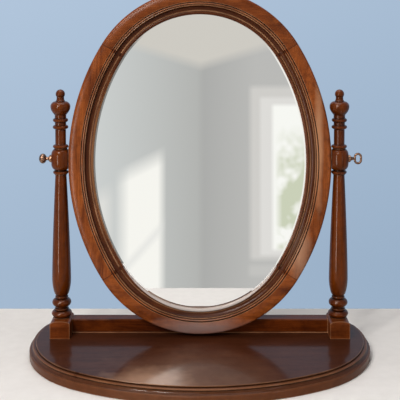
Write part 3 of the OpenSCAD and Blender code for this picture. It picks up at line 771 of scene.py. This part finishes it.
wall_glow = bpy.data.materials.new("wall_glow")
wall_glow.use_nodes = True
tree = wall_glow.node_tree
tree.nodes.clear()
place = object_place(tree)
split = add(tree, "ShaderNodeSeparateXYZ", Vector=place)
across = split.outputs["X"]
up = split.outputs["Z"]

left_tone = blend_colours(tree, stretch(tree, *LEFT_SHADING, across), *LEFT_GREYS)
right_tone = blend_colours(tree, stretch(tree, *RIGHT_SHADING, across), *RIGHT_GREYS)
tone = blend_colours(tree, stretch(tree, *CORNER, across), left_tone, right_tone)

# The ceiling's edge rises away from the corner on both sides
from_corner = reckon(tree, "ABSOLUTE", reckon(tree, "ADD", across, CORNER_MIDDLE), 0.0)
ceiling_line = reckon(tree, "ADD", reckon(tree, "MULTIPLY", from_corner, CEILING_SLOPE), CEILING_EDGE)
above = reckon(tree, "SUBTRACT", up, ceiling_line)
tone = blend_colours(tree, stretch(tree, -CEILING_SOFT, CEILING_SOFT, above), tone, CEILING_TONE)
print("the wall's nodes so far:", len(tree.nodes))

# %% [markdown]
# The sunlit patch
#
# Low on the left lies a patch of sunlight with a slanting top, a fainter one beside it, and a soft shade
# that crosses it on a steeper slant. Each is a product of soft steps, one for each of its sides, and a
# slanted side is a step on height less a share of the distance across.

# %% Wall: sunlit patch
SUN_SLOPE = 0.5
SUN_LEFT = (-0.410, -0.340)
SUN_RIGHT = (-0.168, -0.208)
SUN_TOP = (0.13, 0.04)
SUN_TONE = (0.99, 0.98, 0.93)
FAINT_SIDES = (-0.60, -0.43)
FAINT_SOFT = 0.03
FAINT_TOP = (0.09, 0.0)
FAINT_STRENGTH = 0.55
FAINT_TONE = (0.90, 0.88, 0.83)
SHADE_SLOPE = 1.12
SHADE_DROP = 0.129
SHADE_HALF = 0.024
SHADE_SOFT = 0.020
SHADE_STRENGTH = 0.6
SHADE_TONE = (0.80, 0.80, 0.78)


def between(tree, low, high, value, soft):
    """1 where a value lies between low and high, with soft ends."""
    rise = stretch(tree, low - soft, low + soft, value)
    fall = stretch(tree, high - soft, high + soft, value, 1, 0)
    return reckon(tree, "MULTIPLY", rise, fall)


slanted = reckon(tree, "SUBTRACT", up, reckon(tree, "MULTIPLY", across, SUN_SLOPE))
faint_sides = between(tree, *FAINT_SIDES, across, FAINT_SOFT)
faint = reckon(tree, "MULTIPLY", faint_sides, stretch(tree, *FAINT_TOP, slanted))
tone = blend_colours(tree, reckon(tree, "MULTIPLY", faint, FAINT_STRENGTH), tone, FAINT_TONE)

sun_sides = reckon(tree, "MULTIPLY", stretch(tree, *SUN_LEFT, across), stretch(tree, *SUN_RIGHT, across))
sun = reckon(tree, "MULTIPLY", sun_sides, stretch(tree, *SUN_TOP, slanted))
tone = blend_colours(tree, sun, tone, SUN_TONE)

shade_line = reckon(tree, "SUBTRACT", reckon(tree, "MULTIPLY", across, SHADE_SLOPE), SHADE_DROP)
from_shade = reckon(tree, "SUBTRACT", up, shade_line)
in_shade = between(tree, -SHADE_HALF, SHADE_HALF, from_shade, SHADE_SOFT)
shade = reckon(tree, "MULTIPLY", in_shade, sun_sides)
tone = blend_colours(tree, reckon(tree, "MULTIPLY", shade, SHADE_STRENGTH), tone, SHADE_TONE)
print("the wall's nodes so far:", len(tree.nodes))

# %% [markdown]
# The bright pane
#
# On the right stands a tall bright pane in a pale border of two steps, with a ledge under it. It is what the
# eye finds first in the glass. Each is an upright rectangle with soft sides, and the pane has blurred greens
# low in it, from a coarse noise.

# %% Wall: bright pane
# Each rectangle: left, right, low, high, and how soft its sides are
LEDGE = (0.215, 0.62, -0.565, -0.515, 0.012)
LEDGE_STRENGTH = 0.6
LEDGE_TONE = (0.62, 0.61, 0.59)
BORDER = (0.222, 0.62, -0.49, 0.31, 0.014)
BORDER_TONE = (0.67, 0.655, 0.63)
INNER_BORDER = (0.268, 0.60, -0.47, 0.260, 0.010)
INNER_TONE = (0.78, 0.765, 0.74)
PANE = (0.325, 0.58, -0.445, 0.225, 0.010)
PANE_TONE = (1.0, 1.0, 0.96)
GREENS = (9, 2, 0.55)
GREENS_SHOW = (0.38, 0.54)
GREENS_TOP = (0.14, -0.05)
GREENS_LEFT = (0.335, 0.37)
GREENS_STRENGTH = 0.85
GREENS_TONE = (0.57, 0.62, 0.44)


def rectangle(tree, across, up, left, right, low, high, soft):
    """1 inside an upright rectangle on the wall."""
    inside_sides = between(tree, left, right, across, soft)
    return reckon(tree, "MULTIPLY", inside_sides, between(tree, low, high, up, soft))


ledge = reckon(tree, "MULTIPLY", rectangle(tree, across, up, *LEDGE), LEDGE_STRENGTH)
pane = rectangle(tree, across, up, *PANE)
tone = blend_colours(tree, ledge, tone, LEDGE_TONE)
tone = blend_colours(tree, rectangle(tree, across, up, *BORDER), tone, BORDER_TONE)
tone = blend_colours(tree, rectangle(tree, across, up, *INNER_BORDER), tone, INNER_TONE)
tone = blend_colours(tree, pane, tone, PANE_TONE)

blotches = stretch(tree, *GREENS_SHOW, noise(tree, place, *GREENS))
in_pane = reckon(tree, "MULTIPLY", pane, stretch(tree, *GREENS_LEFT, across))
greens = reckon(tree, "MULTIPLY", blotches, stretch(tree, *GREENS_TOP, up))
greens = reckon(tree, "MULTIPLY", greens, in_pane)
tone = blend_colours(tree, reckon(tree, "MULTIPLY", greens, GREENS_STRENGTH), tone, GREENS_TONE)
print("the wall's nodes so far:", len(tree.nodes))

# %% [markdown]
# The rest of the wall
#
# Right of the painted part the wall is bright for a stretch and then fades to grey: the rounded woodwork
# mirrors it as a soft sheen along its right side. All round that, the wall is dim, so that it lays no pale
# veil on the dark polish.

# %% Wall: sides and sheet
BRIGHT_FROM = (0.75, 0.90)
BRIGHT_TONE = (0.95, 0.93, 0.88)
GREY_FROM = (1.10, 1.90)
GREY_TONE = (0.36, 0.355, 0.34)
LIT_LEFT = (-0.80, -0.66)
LIT_RIGHT = (3.2, 2.0)
LIT_HEIGHTS = (-1.70, 1.60)
LIT_SOFT = 0.06
DIM_TONE = (0.24, 0.235, 0.225)
WALL_PLACE = (0, -3, 0.2)
WALL_HALF_WIDTH = 4
WALL_HEIGHT_SHARE = 0.6

lit_sides = reckon(tree, "MULTIPLY", stretch(tree, *LIT_LEFT, across), stretch(tree, *LIT_RIGHT, across))
lit = reckon(tree, "MULTIPLY", lit_sides, between(tree, *LIT_HEIGHTS, up, LIT_SOFT))
tone = blend_colours(tree, stretch(tree, *BRIGHT_FROM, across), tone, BRIGHT_TONE)
tone = blend_colours(tree, stretch(tree, *GREY_FROM, across), tone, GREY_TONE)
tone = blend_colours(tree, lit, DIM_TONE, tone)
glow = add(tree, "ShaderNodeEmission", Color=tone, Strength=1.0)
add(tree, "ShaderNodeOutputMaterial", Surface=glow.outputs[0])

sheet = bmesh.new()
stand_up = Matrix.Translation(WALL_PLACE) @ Matrix.Rotation(math.pi / 2, 4, "X")
bmesh.ops.create_grid(sheet, x_segments=1, y_segments=1, size=WALL_HALF_WIDTH,
                      matrix=stand_up @ Matrix.Diagonal((1, WALL_HEIGHT_SHARE, 1, 1)))
wall = staged("wall", sheet, wall_glow)
wall.visible_camera = False
wall.visible_diffuse = False
wall.visible_shadow = False
print("wall:", [round(side, 2) for side in wall.dimensions])

# %% [markdown]
# The lamps
#
# A tall light in two halves stands high on the left: its halves are the two small highlights on the balls of
# the posts. A tall lamp farther out and lower down draws the thin bright line down each post. A soft lamp
# overhead lights the top faces, the tops of the beads and the lower lip of the frame. A weak one on the
# right opens the shadows.
#
# One lamp stands in front for the sake of its image: the glass throws it down onto the base, where it is the
# bright place at the front. One stands behind and lights the back of the object. It is hidden from the
# polish, where its image would lie as a veil over the top of the base and the rail.
#
# One sun or one strong lamp would need less thought, but it would draw hard lines on every bead.

# %% Lamps
WARM = (1.0, 0.96, 0.92)
FAINTLY_WARM = (1.0, 0.97, 0.94)
FAINTLY_COOL = (0.98, 0.98, 1.0)
WHITE = (1, 1, 1)
POSTS_MIDDLE = (0, 0, 0.22)
FRONT_TARGET = (0, 0, 0.2)


def soft_lamp(name, place, target, power, wide, high, tint):
    """A rectangular lamp that looks at target."""
    data = bpy.data.lights.new(name, "AREA")
    data.shape = "RECTANGLE"
    data.size = wide
    data.size_y = high
    data.energy = power
    data.color = tint
    lamp = bpy.data.objects.new(name, data)
    bpy.context.scene.collection.objects.link(lamp)
    lamp.location = place
    lamp.rotation_euler = (Vector(target) - Vector(place)).to_track_quat("-Z", "Y").to_euler()
    return lamp


# Each lamp: its name, its place, what it looks at, its watts, its width and height, and its tint
soft_lamp("left_pane_lamp", (-1.00, -1.55, 1.45), POSTS_MIDDLE, 15, 0.22, 0.60, WARM)
soft_lamp("right_pane_lamp", (-0.66, -1.72, 1.45), POSTS_MIDDLE, 15, 0.22, 0.60, WARM)
soft_lamp("ceiling_lamp", (-0.10, -0.05, 1.75), (-0.10, -0.05, 0), 15.5, 1.3, 1.1, WHITE)
back_lamp = soft_lamp("back_lamp", (0.0, 2.10, 1.50), (0, 0, 0.25), 10, 0.9, 0.6, WHITE)
back_lamp.visible_glossy = False
soft_lamp("strip_lamp", (-1.78, -2.60, -0.05), FRONT_TARGET, 32, 0.5, 1.3, WARM)
soft_lamp("front_lamp", (-0.42, -2.30, 1.55), FRONT_TARGET, 6, 0.7, 0.7, FAINTLY_WARM)
soft_lamp("right_lamp", (1.25, -1.55, 0.60), POSTS_MIDDLE, 2.5, 0.10, 1.5, FAINTLY_COOL)

# %% [markdown]
# The backdrop
#
# Behind the mirror is a plain pale blue. A wall of that colour would throw blue light on the wood, so the
# blue is the colour of the world instead, shown to the camera and to reflections only, and everything else
# gets a faint warm fill. The blue deepens gently to the right and downwards. The direction of a ray, which
# the world calls Generated, gives that, and it is the same from every camera.

# %% World
PALE_BLUE = (0.440, 0.558, 0.708)
DEEP_BLUE = (0.325, 0.435, 0.575)
TO_RIGHT = (-0.2, 0.2)
DEEPER_TO_RIGHT = 0.4
TO_FLOOR = (0.0, -0.28)
DEEPER_TO_FLOOR = 0.6
FILL_COLOUR = (0.90, 0.88, 0.86, 1)
FILL_STRENGTH = 0.04

world = bpy.data.worlds.new("backdrop")
bpy.context.scene.world = world
world.use_nodes = True
tree = world.node_tree
tree.nodes.clear()
direction = add(tree, "ShaderNodeSeparateXYZ", Vector=add(tree, "ShaderNodeTexCoord").outputs["Generated"])
rightwards = stretch(tree, *TO_RIGHT, direction.outputs["X"], 0, DEEPER_TO_RIGHT)
downwards = stretch(tree, *TO_FLOOR, direction.outputs["Z"], 0, DEEPER_TO_FLOOR)
blue = blend_colours(tree, reckon(tree, "ADD", rightwards, downwards), PALE_BLUE, DEEP_BLUE)

ray = add(tree, "ShaderNodeLightPath").outputs
mirrored = reckon(tree, "MAXIMUM", ray["Is Glossy Ray"], ray["Is Transmission Ray"])
seen = reckon(tree, "MAXIMUM", ray["Is Camera Ray"], mirrored)
fill = add(tree, "ShaderNodeBackground", Color=FILL_COLOUR, Strength=FILL_STRENGTH)
backdrop = add(tree, "ShaderNodeBackground", Color=blue, Strength=1.0)
pick = add(tree, "ShaderNodeMixShader", _0=seen, _1=fill.outputs[0], _2=backdrop.outputs[0])
add(tree, "ShaderNodeOutputWorld", Surface=pick.outputs[0])
bpy.context.scene.view_settings.view_transform = "Standard"
print("view transform:", bpy.context.scene.view_settings.view_transform)
